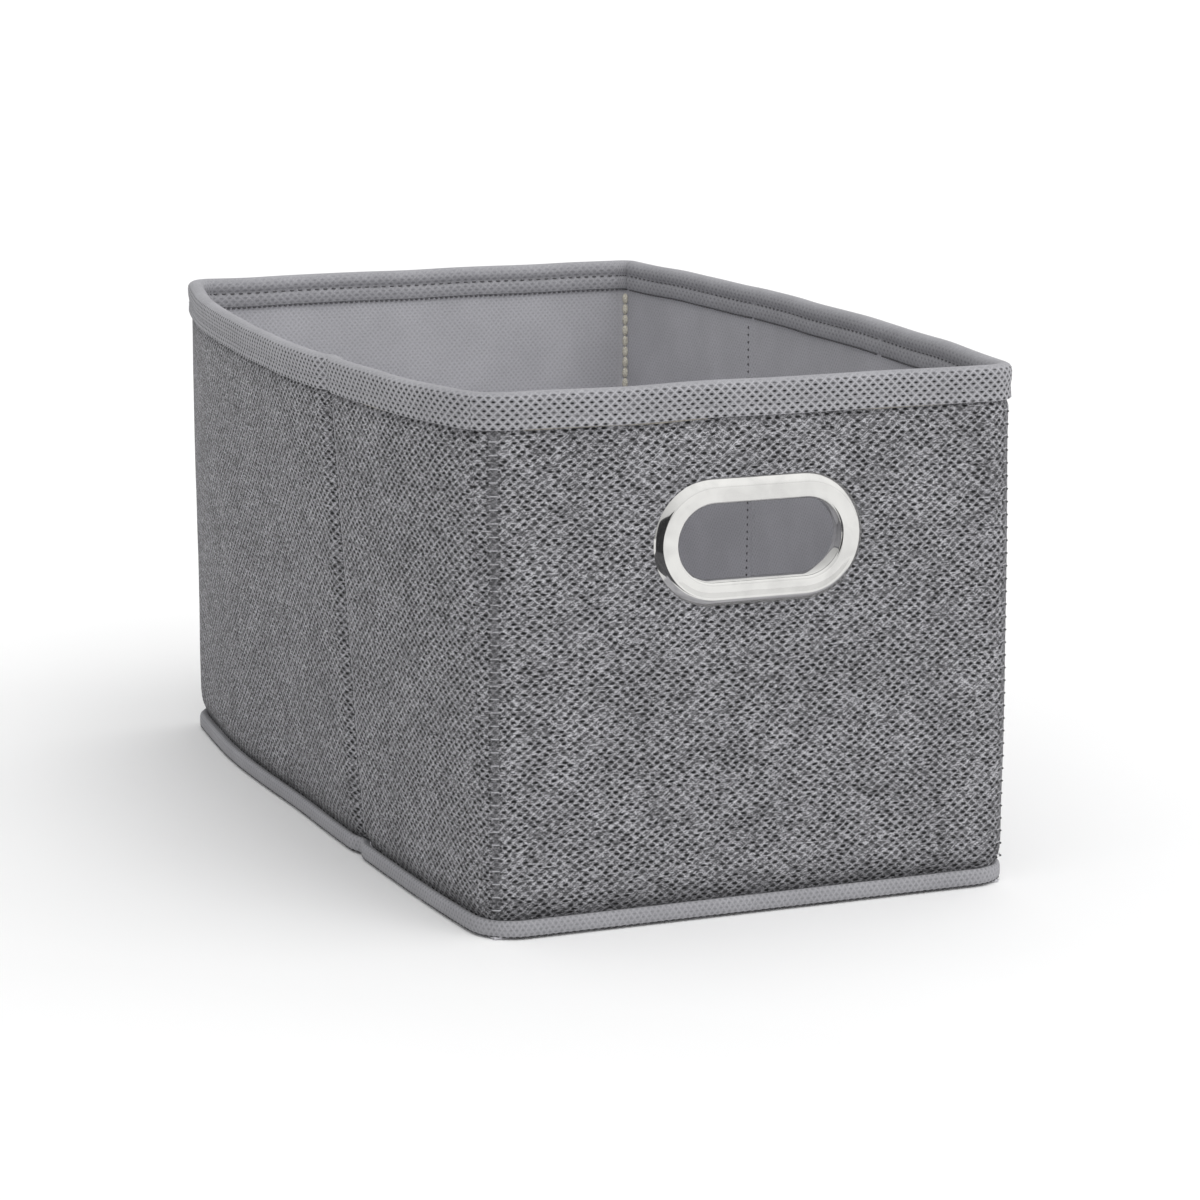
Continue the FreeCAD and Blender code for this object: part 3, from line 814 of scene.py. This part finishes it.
def make_covers():
    """The outer cloth, in one strip for each part of the wall."""
    for strip, (start, end, _) in STRIPS.items():
        outline = cover_outline()
        piece = sweep(strip + "_outer_cloth", stations(start, end), outline, COVER_GAUGE, COVER, lift=1.0,
                      strength=cover_strength)
        if strip == "front":
            cut_handle_hole(piece, outline)
        panel = PANELS[strip]
        declare_strip(piece, strip, [panel + "_cover"] if panel else ())


def make_linings():
    """The inner cloth, in the same strips."""
    for strip, (start, end, _) in STRIPS.items():
        outline = lining_outline()
        piece = sweep(strip + "_inner_cloth", stations(start, end), outline, LINING_GAUGE, LINING, lift=0.8)
        if strip == "front":
            cut_handle_hole(piece, outline)
        panel = PANELS[strip]
        declare_strip(piece, strip, [panel + "_lining"] if panel else ())


def make_rim_tapes():
    """The tape folded over the rim."""
    for strip, (start, end, _) in STRIPS.items():
        piece = sweep(strip + "_rim_tape", stations(start, end), tape_outline(), TAPE_GAUGE, TAPE,
                      wave=rim_wave, strength=tape_strength)
        panel = PANELS[strip]
        declare_strip(piece, strip, [panel + "_rim_binding"] if panel else ())


def make_foot_tapes():
    """The tape round the foot."""
    for strip, (start, end, _) in STRIPS.items():
        piece = sweep(strip + "_foot_tape", stations(start, end), lip_outline(), LIP_GAUGE, FOOT_TAPE,
                      extra_round=FOOT_ROUND)
        declare_strip(piece, strip, ["base_binding"] if strip == "front" else ())


# Each board's ends, round the wall, and its body.
BOARDS = {
    "front": (6.0, WIDTH - 6.0, "front_wall"),
    "right_front": (WIDTH + 16.0, RIGHT_CREASE - 3.0, "right_front"),
    "right_rear": (RIGHT_CREASE + 3.0, WIDTH + LENGTH - 19.0, "right_rear"),
    "back": (WIDTH + LENGTH + 9.0, LEFT_START - 9.0, "back_wall"),
    "left_rear": (LEFT_START + 19.0, LEFT_CREASE - 11.0, "left_rear"),
    "left_front": (LEFT_CREASE + 11.0, PERIMETER - 16.0, "left_front"),
}


def make_boards():
    """The bent boards inside the walls."""
    foot, top = LIP_TOP + 2.0, RIM - 3.5
    outline = [(BOARD_INSET, foot + (top - foot) * i / 8) for i in range(9)]
    for panel, (start, end, body) in BOARDS.items():
        piece = sweep(panel + "_wall_board", stations(start, end), outline, BOARD_GAUGE, CARD)
        if panel == "front":
            cut_handle_hole(piece, outline)
        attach(piece, body)
        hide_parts(panel + "_board")


# The heights between which the upright seams run.
SEAM_LOW, SEAM_HIGH = LIP_TOP + 3.0, TAPE_FOOT - 1.0


def add_stitch(bm, start, end, away, radius):
    """One stitch: a thread that rises out of the cloth, runs along it and dives in again."""
    run = end - start
    across = run.cross(away).normalized()
    shares = ((0.0, -0.9), (0.14, 0.1), (0.38, 0.55), (0.62, 0.55), (0.86, 0.1), (1.0, -0.9))
    sides = 6
    rings = []
    for share, rise in shares:
        centre = start + run * share + away * (rise * radius)
        slim = 1.0 if 0.1 < share < 0.9 else 0.65
        ring = []
        for k in range(sides):
            angle = 2 * math.pi * k / sides
            out = across * math.cos(angle) + away * math.sin(angle)
            ring.append(bm.verts.new(centre + out * radius * slim))
        rings.append(ring)
    for a, b in zip(rings, rings[1:]):
        for k in range(sides):
            bm.faces.new((a[k], a[(k + 1) % sides], b[(k + 1) % sides], b[k]))
    bm.faces.new(rings[0][::-1])
    bm.faces.new(rings[-1])


def declare_stitches(name, bm, material, strip, node):
    """Make a row's piece and tie it to its strip."""
    piece = new_object(name, bm, material, 60)
    follow(piece, strip)
    if node:
        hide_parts(node)


def stitch_row(name, strip, inset, height, pitch, length, radius, material, wave=None,
               extra_round=0.0, node=None):
    """A level row of stitches round one strip, outside or inside."""
    start, end, _ = STRIPS[strip]
    bm = bmesh.new()
    outward = -1 if inset < WALL / 2 else 1
    first = math.ceil((start + 0.5) / pitch)
    last = math.floor((end - 0.5 - length) / pitch)
    for i in range(first, last + 1):
        u = i * pitch
        shift = wave(u) if wave else 0.0
        a = surface(u, inset, height + shift, 0.0, extra_round)
        b = surface(u + length, inset, height + shift, 0.0, extra_round)
        side = inward(u + length / 2, height, extra_round)
        away = Vector((side.x, side.y, 0)) * outward
        add_stitch(bm, a, b, away, radius * MM)
    declare_stitches(name, bm, material, strip, node)


def make_rim_stitches():
    """The rows that hold the rim tape, outside and inside."""
    for strip in STRIPS:
        panel = PANELS[strip]
        node = panel + "_rim_thread" if panel else None
        stitch_row(strip + "_rim_stitches", strip, -0.48, TAPE_FOOT + 3.2, 3.0, 2.3, 0.17, THREAD,
                   wave=rim_wave, node=node)
        stitch_row(strip + "_rim_inner_stitches", strip, 3.76, TAPE_FOOT + 4.75, 2.8, 1.5, 0.2, SOFT_THREAD,
                   wave=rim_wave)
        stitch_row(strip + "_rim_inner_edge", strip, 3.95, TAPE_FOOT + 0.2, 1.7, 1.1, 0.24, SOFT_THREAD,
                   wave=rim_wave)


def make_foot_stitches():
    """The rows round the foot tape."""
    for strip in STRIPS:
        node = "base_thread" if strip == "front" else None
        stitch_row(strip + "_foot_stitches", strip, -0.95, 0.85, 2.0, 1.2, 0.22, DARK_THREAD,
                   extra_round=FOOT_ROUND, node=node)


def upright_stitches(name, strip, foot_u, lean, inset, pitch, length, radius, material, node):
    """An upright row of stitches, at foot_u round the wall at the foot and leaning by lean mm per mm."""
    bm = bmesh.new()
    outward = -1 if inset < WALL / 2 else 1
    z = SEAM_LOW
    while z + length < SEAM_HIGH:
        u = foot_u + lean * z
        side = inward(u, z)
        away = Vector((side.x, side.y, 0)) * outward
        add_stitch(bm, surface(u, inset, z, 1.0), surface(u, inset, z + length, 1.0), away, radius * MM)
        z += pitch
    declare_stitches(name, bm, material, strip, node)


def make_corner_seams():
    """The ladder seams at the corners of the end walls: pale rungs between two columns of needle holes."""
    width, pitch, past, depth = 3.0, 3.5, 0.9, 0.02
    rung_radius, needle_radius = 0.17, 0.3
    places = {
        "front_left": (-past, "front_wall"),
        "front_right": (WIDTH + past - width, "front_wall"),
        "back_right": (WIDTH + LENGTH - past, "back_wall"),
        "back_left": (LEFT_START + past - width, "back_wall"),
    }
    for corner, (u, body) in places.items():
        rungs, needles = bmesh.new(), bmesh.new()
        z = SEAM_LOW
        while z < SEAM_HIGH:
            side = inward(u + width / 2, z)
            away = Vector((-side.x, -side.y, 0))
            a, b = surface(u, depth, z, 1.0), surface(u + width, depth, z + 0.1, 1.0)
            add_stitch(rungs, a, b, away, rung_radius * MM)
            for edge in (u - 0.1, u + width + 0.1):
                a, b = surface(edge, depth, z - 0.9, 1.0), surface(edge, depth, z - 0.3, 1.0)
                add_stitch(needles, a, b, away, needle_radius * MM)
            z += pitch
        parts = (("ladder_rungs", rungs, PALE_THREAD), ("ladder_needles", needles, DARK_THREAD))
        for name, bm, material in parts:
            piece = new_object(corner + "_" + name, bm, material, 60)
            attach(piece, body)
            if name == "ladder_rungs":
                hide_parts(corner + "_seam")


def make_corner_beads():
    """The cream locking stitches that show up the inner corners."""
    inset, pitch = WALL + 0.2, 3.5
    depth, width, height = 0.7 * MM, 1.1 * MM, 1.75 * MM
    places = {
        "front_left": (-0.2, "front_wall"),
        "front_right": (WIDTH + 0.2, "front_wall"),
        "back_right": (WIDTH + LENGTH - 2.0, "back_wall"),
        "back_left": (LEFT_START, "back_wall"),
    }
    for corner, (u, body) in places.items():
        bm = bmesh.new()
        z = SEAM_LOW
        while z < TAPE_FOOT - 2.0:
            side = inward(u, z)
            place = surface(u, inset, z)
            matrix = Matrix.Translation(place) @ Matrix.Rotation(math.atan2(side.y, side.x), 4, "Z")
            matrix = matrix @ Matrix.Diagonal((depth, width, height, 1))
            bmesh.ops.create_uvsphere(bm, u_segments=10, v_segments=8, radius=1.0, matrix=matrix)
            z += pitch
        piece = new_object(corner + "_bead_stitches", bm, CREAM_THREAD, 60)
        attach(piece, body)


def make_crease_stitches():
    """The needle rows along the two side creases, outside and inside."""
    outside, inside = 0.0, WALL
    left = ("left_mid", VALLEY_LEAN, LEFT_VALLEY)
    right = ("right_far", 0.0, RIGHT_CREASE)
    # Each row: its side, how far it lies past the crease, its face, pitch, length, radius and thread.
    rows = {
        "left_crease_needles_a": (left, 0.4, outside, 1.75, 0.6, 0.26, DARK_THREAD),
        "left_crease_needles_b": (left, 2.6, outside, 2.3, 0.6, 0.26, DARK_THREAD),
        "left_crease_light_row": (left, 4.4, outside, 3.2, 3.0, 0.14, PALE_THREAD),
        "left_crease_inner_row": (left, 0.0, inside, 2.3, 0.9, 0.26, SOFT_THREAD),
        "right_crease_needles": (right, 1.2, outside, 2.0, 0.7, 0.26, DARK_THREAD),
        "right_crease_light_row": (right, 2.8, outside, 3.2, 3.0, 0.14, PALE_THREAD),
        "right_crease_inner_row": (right, 3.4, inside, 2.3, 0.9, 0.26, SOFT_THREAD),
    }
    stands_for = {
        "left_crease_needles_a": "left_crease_seam",
        "right_crease_needles": "right_crease_seam",
    }
    for name, ((strip, lean, crease), past, face, pitch, length, radius, material) in rows.items():
        upright_stitches(name, strip, crease + past, lean, face, pitch, length, radius, material,
                         stands_for.get(name))


def make_crease_columns():
    """The lining turned round the boards' ends at the right crease, which shows when the side folds in."""
    radius, flat, steps = 3.7, 0.8, 12
    axis = side_point(1, RIGHT_CREASE_Y - FRONT_Y, 0) + Vector((0.2, 0))
    low, high = LIP_TOP, RIM - 3.5
    for body, first in (("right_front", 90), ("right_rear", 180)):
        bm = bmesh.new()
        rings = []
        for z in (low, (low + high) / 2, high):
            ring = [bm.verts.new(Vector((axis.x - flat, axis.y, z)) * MM)]
            for k in range(steps + 1):
                angle = math.radians(first + 90 * k / steps)
                x, y = axis.x + radius * math.cos(angle), axis.y + radius * math.sin(angle)
                ring.append(bm.verts.new(Vector((min(x, axis.x - flat), y, z)) * MM))
            rings.append(ring)
        count = len(rings[0])
        for a, b in zip(rings, rings[1:]):
            for k in range(count):
                bm.faces.new((a[k], a[(k + 1) % count], b[(k + 1) % count], b[k]))
        bm.faces.new(rings[0][::-1])
        bm.faces.new(rings[-1])
        bmesh.ops.remove_doubles(bm, verts=bm.verts, dist=0.01 * MM)
        piece = new_object(body + "_turned_lining", bm, LINING)
        set_cloth(piece, [(v.co.y / MM, v.co.z / MM, 1.0) for v in piece.data.vertices])
        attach(piece, body)


def skin_between(bm, layers):
    """Close two grids of vertices, one over the other, with faces on both and round their edges."""
    rows, columns = len(layers[0]) - 1, len(layers[0][0]) - 1
    for grid in layers:
        for i in range(rows):
            for j in range(columns):
                bm.faces.new((grid[i][j], grid[i][j + 1], grid[i + 1][j + 1], grid[i + 1][j]))
    edge = [(i, 0) for i in range(rows)] + [(rows, j) for j in range(columns)]
    edge += [(i, columns) for i in range(rows, 0, -1)] + [(0, j) for j in range(columns, 0, -1)]
    for (i, j), (k, l) in zip(edge, edge[1:] + edge[:1]):
        bm.faces.new((layers[0][i][j], layers[0][k][l], layers[1][k][l], layers[1][i][j]))


def make_bottom():
    """The bottom cloth that the foot tape holds, a little slack between its edges."""
    inset, low, gauge, slack = 1.6, 0.18, 0.6, 0.12
    rows, columns = 56, 30
    bm = bmesh.new()
    cloth = []
    layers = []
    for height in (0.0, gauge):
        grid = []
        for i in range(rows + 1):
            y = FRONT_Y + inset + (LENGTH - 2 * inset) * i / rows
            left = -HALF_WIDTH - left_bow(y, 0) + inset
            right = HALF_WIDTH + along_knots(RIGHT_RIM_BOW, y) - inset
            line = []
            for j in range(columns + 1):
                x = left + (right - left) * j / columns
                inside = min(i, rows - i, j, columns - j)
                sag = slack * noise.noise(Vector((x / 25, y / 25, 0))) * min(inside / 3, 1)
                line.append(bm.verts.new(Vector((x, y, low + height + sag)) * MM))
                cloth.append((x, y, 1.0))
            grid.append(line)
        layers.append(grid)
    skin_between(bm, layers)
    piece = new_object("bottom_cloth", bm, LINING)
    set_cloth(piece, cloth)
    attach(piece, "front_wall")
    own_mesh(piece)
    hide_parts("bottom_cover")


def rounded_slab(bm, low, high, radius, rows, columns, puff):
    """A board-shaped closed skin with rounded edges, added to a bmesh."""
    size = [h - l for l, h in zip(low, high)]
    middle = [(l + h) / 2 for l, h in zip(low, high)]
    layers = []
    for side in (1, -1):
        layer = []
        for i in range(rows + 1):
            line = []
            for j in range(columns + 1):
                a, b = 2 * i / rows - 1, 2 * j / columns - 1
                x, y = middle[0] + b * size[0] / 2, middle[1] + a * size[1] / 2
                edge_x = (1 - abs(b)) * size[0] / 2
                edge_y = (1 - abs(a)) * size[1] / 2
                near = min(edge_x, edge_y, radius) / radius
                full = math.sqrt(max(0.0, 1 - (1 - near) ** 2))
                bulge = puff * noise.noise(Vector((x / 22, y / 22, side * 4.0)))
                z = middle[2] + side * (size[2] / 2 * (0.45 + 0.55 * full) + bulge * full)
                line.append(bm.verts.new(Vector((x, y, z)) * MM))
            layer.append(line)
        layers.append(layer)
    skin_between(bm, layers)


def make_insert():
    """The loose bottom board's wrapped cloth, a closed skin with its thickness inside it."""
    low, high = node_box("insert_cover")
    skin = 0.45
    rows, columns = 90, 54
    bm = bmesh.new()
    rounded_slab(bm, low, high, 2.2, rows, columns, 0.12)
    inner_low = [v + skin for v in low]
    inner_high = [v - skin for v in high]
    rounded_slab(bm, inner_low, inner_high, 1.6, rows, columns, 0.0)
    piece = new_object("insert_wrap", bm, LINING)
    set_cloth(piece, [(v.co.x / MM, v.co.y / MM, 1.0) for v in piece.data.vertices])
    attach(piece, "insert")
    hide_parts("insert_cover")


# The handle flange's section: (distance from the oval's spine, depth behind the wall's outer face).
RING_SECTION = (
    (11.2, 4.2), (10.5, 4.2), (10.25, 3.6), (10.2, 1.0), (10.22, -0.6), (10.4, -1.15), (10.75, -1.5),
    (11.3, -1.6), (12.2, -1.5), (13.3, -1.58), (14.2, -1.78), (14.65, -1.84), (15.0, -1.74), (15.5, -1.4),
    (16.0, -0.98), (16.5, -0.52), (16.8, -0.16), (16.95, 0.05), (16.7, 0.15), (15.9, 0.05), (13.0, 0.05),
    (11.4, 0.05), (11.25, 1.0),
)


def make_ring():
    """The polished oval flange and its collar through the wall."""
    count = 144
    bm = bmesh.new()
    rings = []
    for q in range(count):
        places = [oval_point(radius, q / count, FRONT_Y + depth) for radius, depth in RING_SECTION]
        rings.append([bm.verts.new(place) for place in places])
    size = len(RING_SECTION)
    for i in range(count):
        a, b = rings[i], rings[(i + 1) % count]
        for k in range(size):
            bm.faces.new((a[k], a[(k + 1) % size], b[(k + 1) % size], b[k]))
    piece = new_object("handle_flange", bm, PLATE, 50)
    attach(piece, "front_wall")
    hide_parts("handle_ring")


def dress_cad_nodes():
    """Better materials for the CAD pieces whose shape is right."""
    for name, material in (("handle_back_ring", STEEL), ("handle_prongs", STEEL), ("insert_board", CARD)):
        mesh = frame["nodes"][name].data
        mesh.materials.clear()
        mesh.materials.append(material)


def make_floor():
    """A plain pale floor."""
    bm = bmesh.new()
    bmesh.ops.create_grid(bm, x_segments=1, y_segments=1, size=14.0)
    m = Material("pale_floor", roughness=0.85, specular=0.1)
    cloud = m.noise(m.place(), 0.004, 2.0)
    tone = m.mix(m.step(cloud, 0.3, 0.7), (0.90, 0.90, 0.90, 1), (0.92, 0.92, 0.92, 1))
    floor = new_object("floor", bm, m.finish(tone))


def make_flags():
    """Studio flags that only reflections see: dark ones at the handle's left, a grey one below it."""
    # Each flag: its centre, its two directions, its half sizes along them and its grey, in metres.
    flags = {
        "side_flag": ((-0.28, -0.36, 0.13), (0.75, -0.62, 0.0), (0.0, 0.0, 1.0), 0.16, 0.14, 0.05),
        "floor_flag": ((-0.19, -0.28, 0.002), (0.75, -0.62, 0.0), (0.62, 0.75, 0.0), 0.17, 0.14, 0.10),
        "foot_flag": ((0.04, -0.165, 0.003), (1.0, 0.0, 0.0), (0.0, 1.0, 0.0), 0.13, 0.03, 0.50),
    }
    for name, (centre, first, second, half_first, half_second, value) in flags.items():
        m = Material(name, roughness=1.0, specular=0.0)
        cloud = m.noise(m.place(), 0.03, 3.0)
        cloth = m.finish(m.mix(cloud, grey(value * 0.4), grey(value * 1.6)))
        bm = bmesh.new()
        a = Vector(first).normalized() * half_first
        b = Vector(second).normalized() * half_second
        corners = [Vector(centre) + a * i + b * j for i, j in ((-1, -1), (1, -1), (1, 1), (-1, 1))]
        bm.faces.new([bm.verts.new(corner) for corner in corners])
        flag = new_object(name, bm, cloth)
        flag.visible_camera = False
        flag.visible_diffuse = False
        flag.visible_shadow = False
        flag.visible_transmission = False


def make_world():
    """Soft studio light from all round: brighter above and to the right, darker to the left."""
    world = bpy.data.worlds.new("studio")
    bpy.context.scene.world = world
    world.use_nodes = True
    tree = world.node_tree
    place = tree.nodes.new("ShaderNodeTexCoord")
    lean = tree.nodes.new("ShaderNodeVectorMath")
    lean.operation = "DOT_PRODUCT"
    lean.inputs[1].default_value = (0.25, -0.14, 0.42)
    tree.links.new(place.outputs["Generated"], lean.inputs[0])
    level = tree.nodes.new("ShaderNodeMath")
    level.operation = "ADD"
    level.inputs[1].default_value = 0.68
    tree.links.new(lean.outputs["Value"], level.inputs[0])
    floor = tree.nodes.new("ShaderNodeMath")
    floor.operation = "MAXIMUM"
    floor.inputs[1].default_value = 0.12
    tree.links.new(level.outputs[0], floor.inputs[0])
    tree.links.new(floor.outputs[0], tree.nodes["Background"].inputs["Strength"])
    tree.nodes["Background"].inputs["Color"].default_value = (1, 1, 1, 1)


def make_sun(name, direction, angle, strength):
    """A soft sun that isn't seen in reflections."""
    sun = bpy.data.lights.new(name, "SUN")
    sun.energy = strength
    sun.angle = math.radians(angle)
    holder = bpy.data.objects.new(name, sun)
    holder.visible_glossy = False
    holder.rotation_euler = Vector(direction).to_track_quat("-Z", "Y").to_euler()
    bpy.context.scene.collection.objects.link(holder)


def make_lights():
    """The world, one sun and plain colours."""
    make_world()
    make_sun("key", (-0.1, 0.75, -1.0), 50, 0.9)
    bpy.context.scene.view_settings.view_transform = "Standard"


def make_camera():
    """The camera: a long lens from the left of the front, a little above the rim."""
    azimuth, elevation = math.radians(-22.198), math.radians(11.534)
    aim, distance = Vector((-0.01402, -0.05870, 0.0715)), 1.0581
    data = bpy.data.cameras.new("camera")
    data.sensor_width = 36.0
    data.lens = 113.95
    data.clip_end = 60.0
    camera = bpy.data.objects.new("camera", data)
    towards = Vector((
        math.sin(azimuth) * math.cos(elevation),
        -math.cos(azimuth) * math.cos(elevation),
        math.sin(elevation),
    ))
    camera.location = aim + towards * distance
    camera.rotation_euler = (-towards).to_track_quat("-Z", "Y").to_euler()
    bpy.context.scene.collection.objects.link(camera)
    bpy.context.scene.camera = camera


make_camera()
make_lights()
make_floor()
make_flags()
make_covers()
make_linings()
make_rim_tapes()
make_foot_tapes()
make_boards()
make_rim_stitches()
make_foot_stitches()
make_corner_seams()
make_corner_beads()
make_crease_stitches()
make_crease_columns()
make_bottom()
make_insert()
make_ring()
dress_cad_nodes()
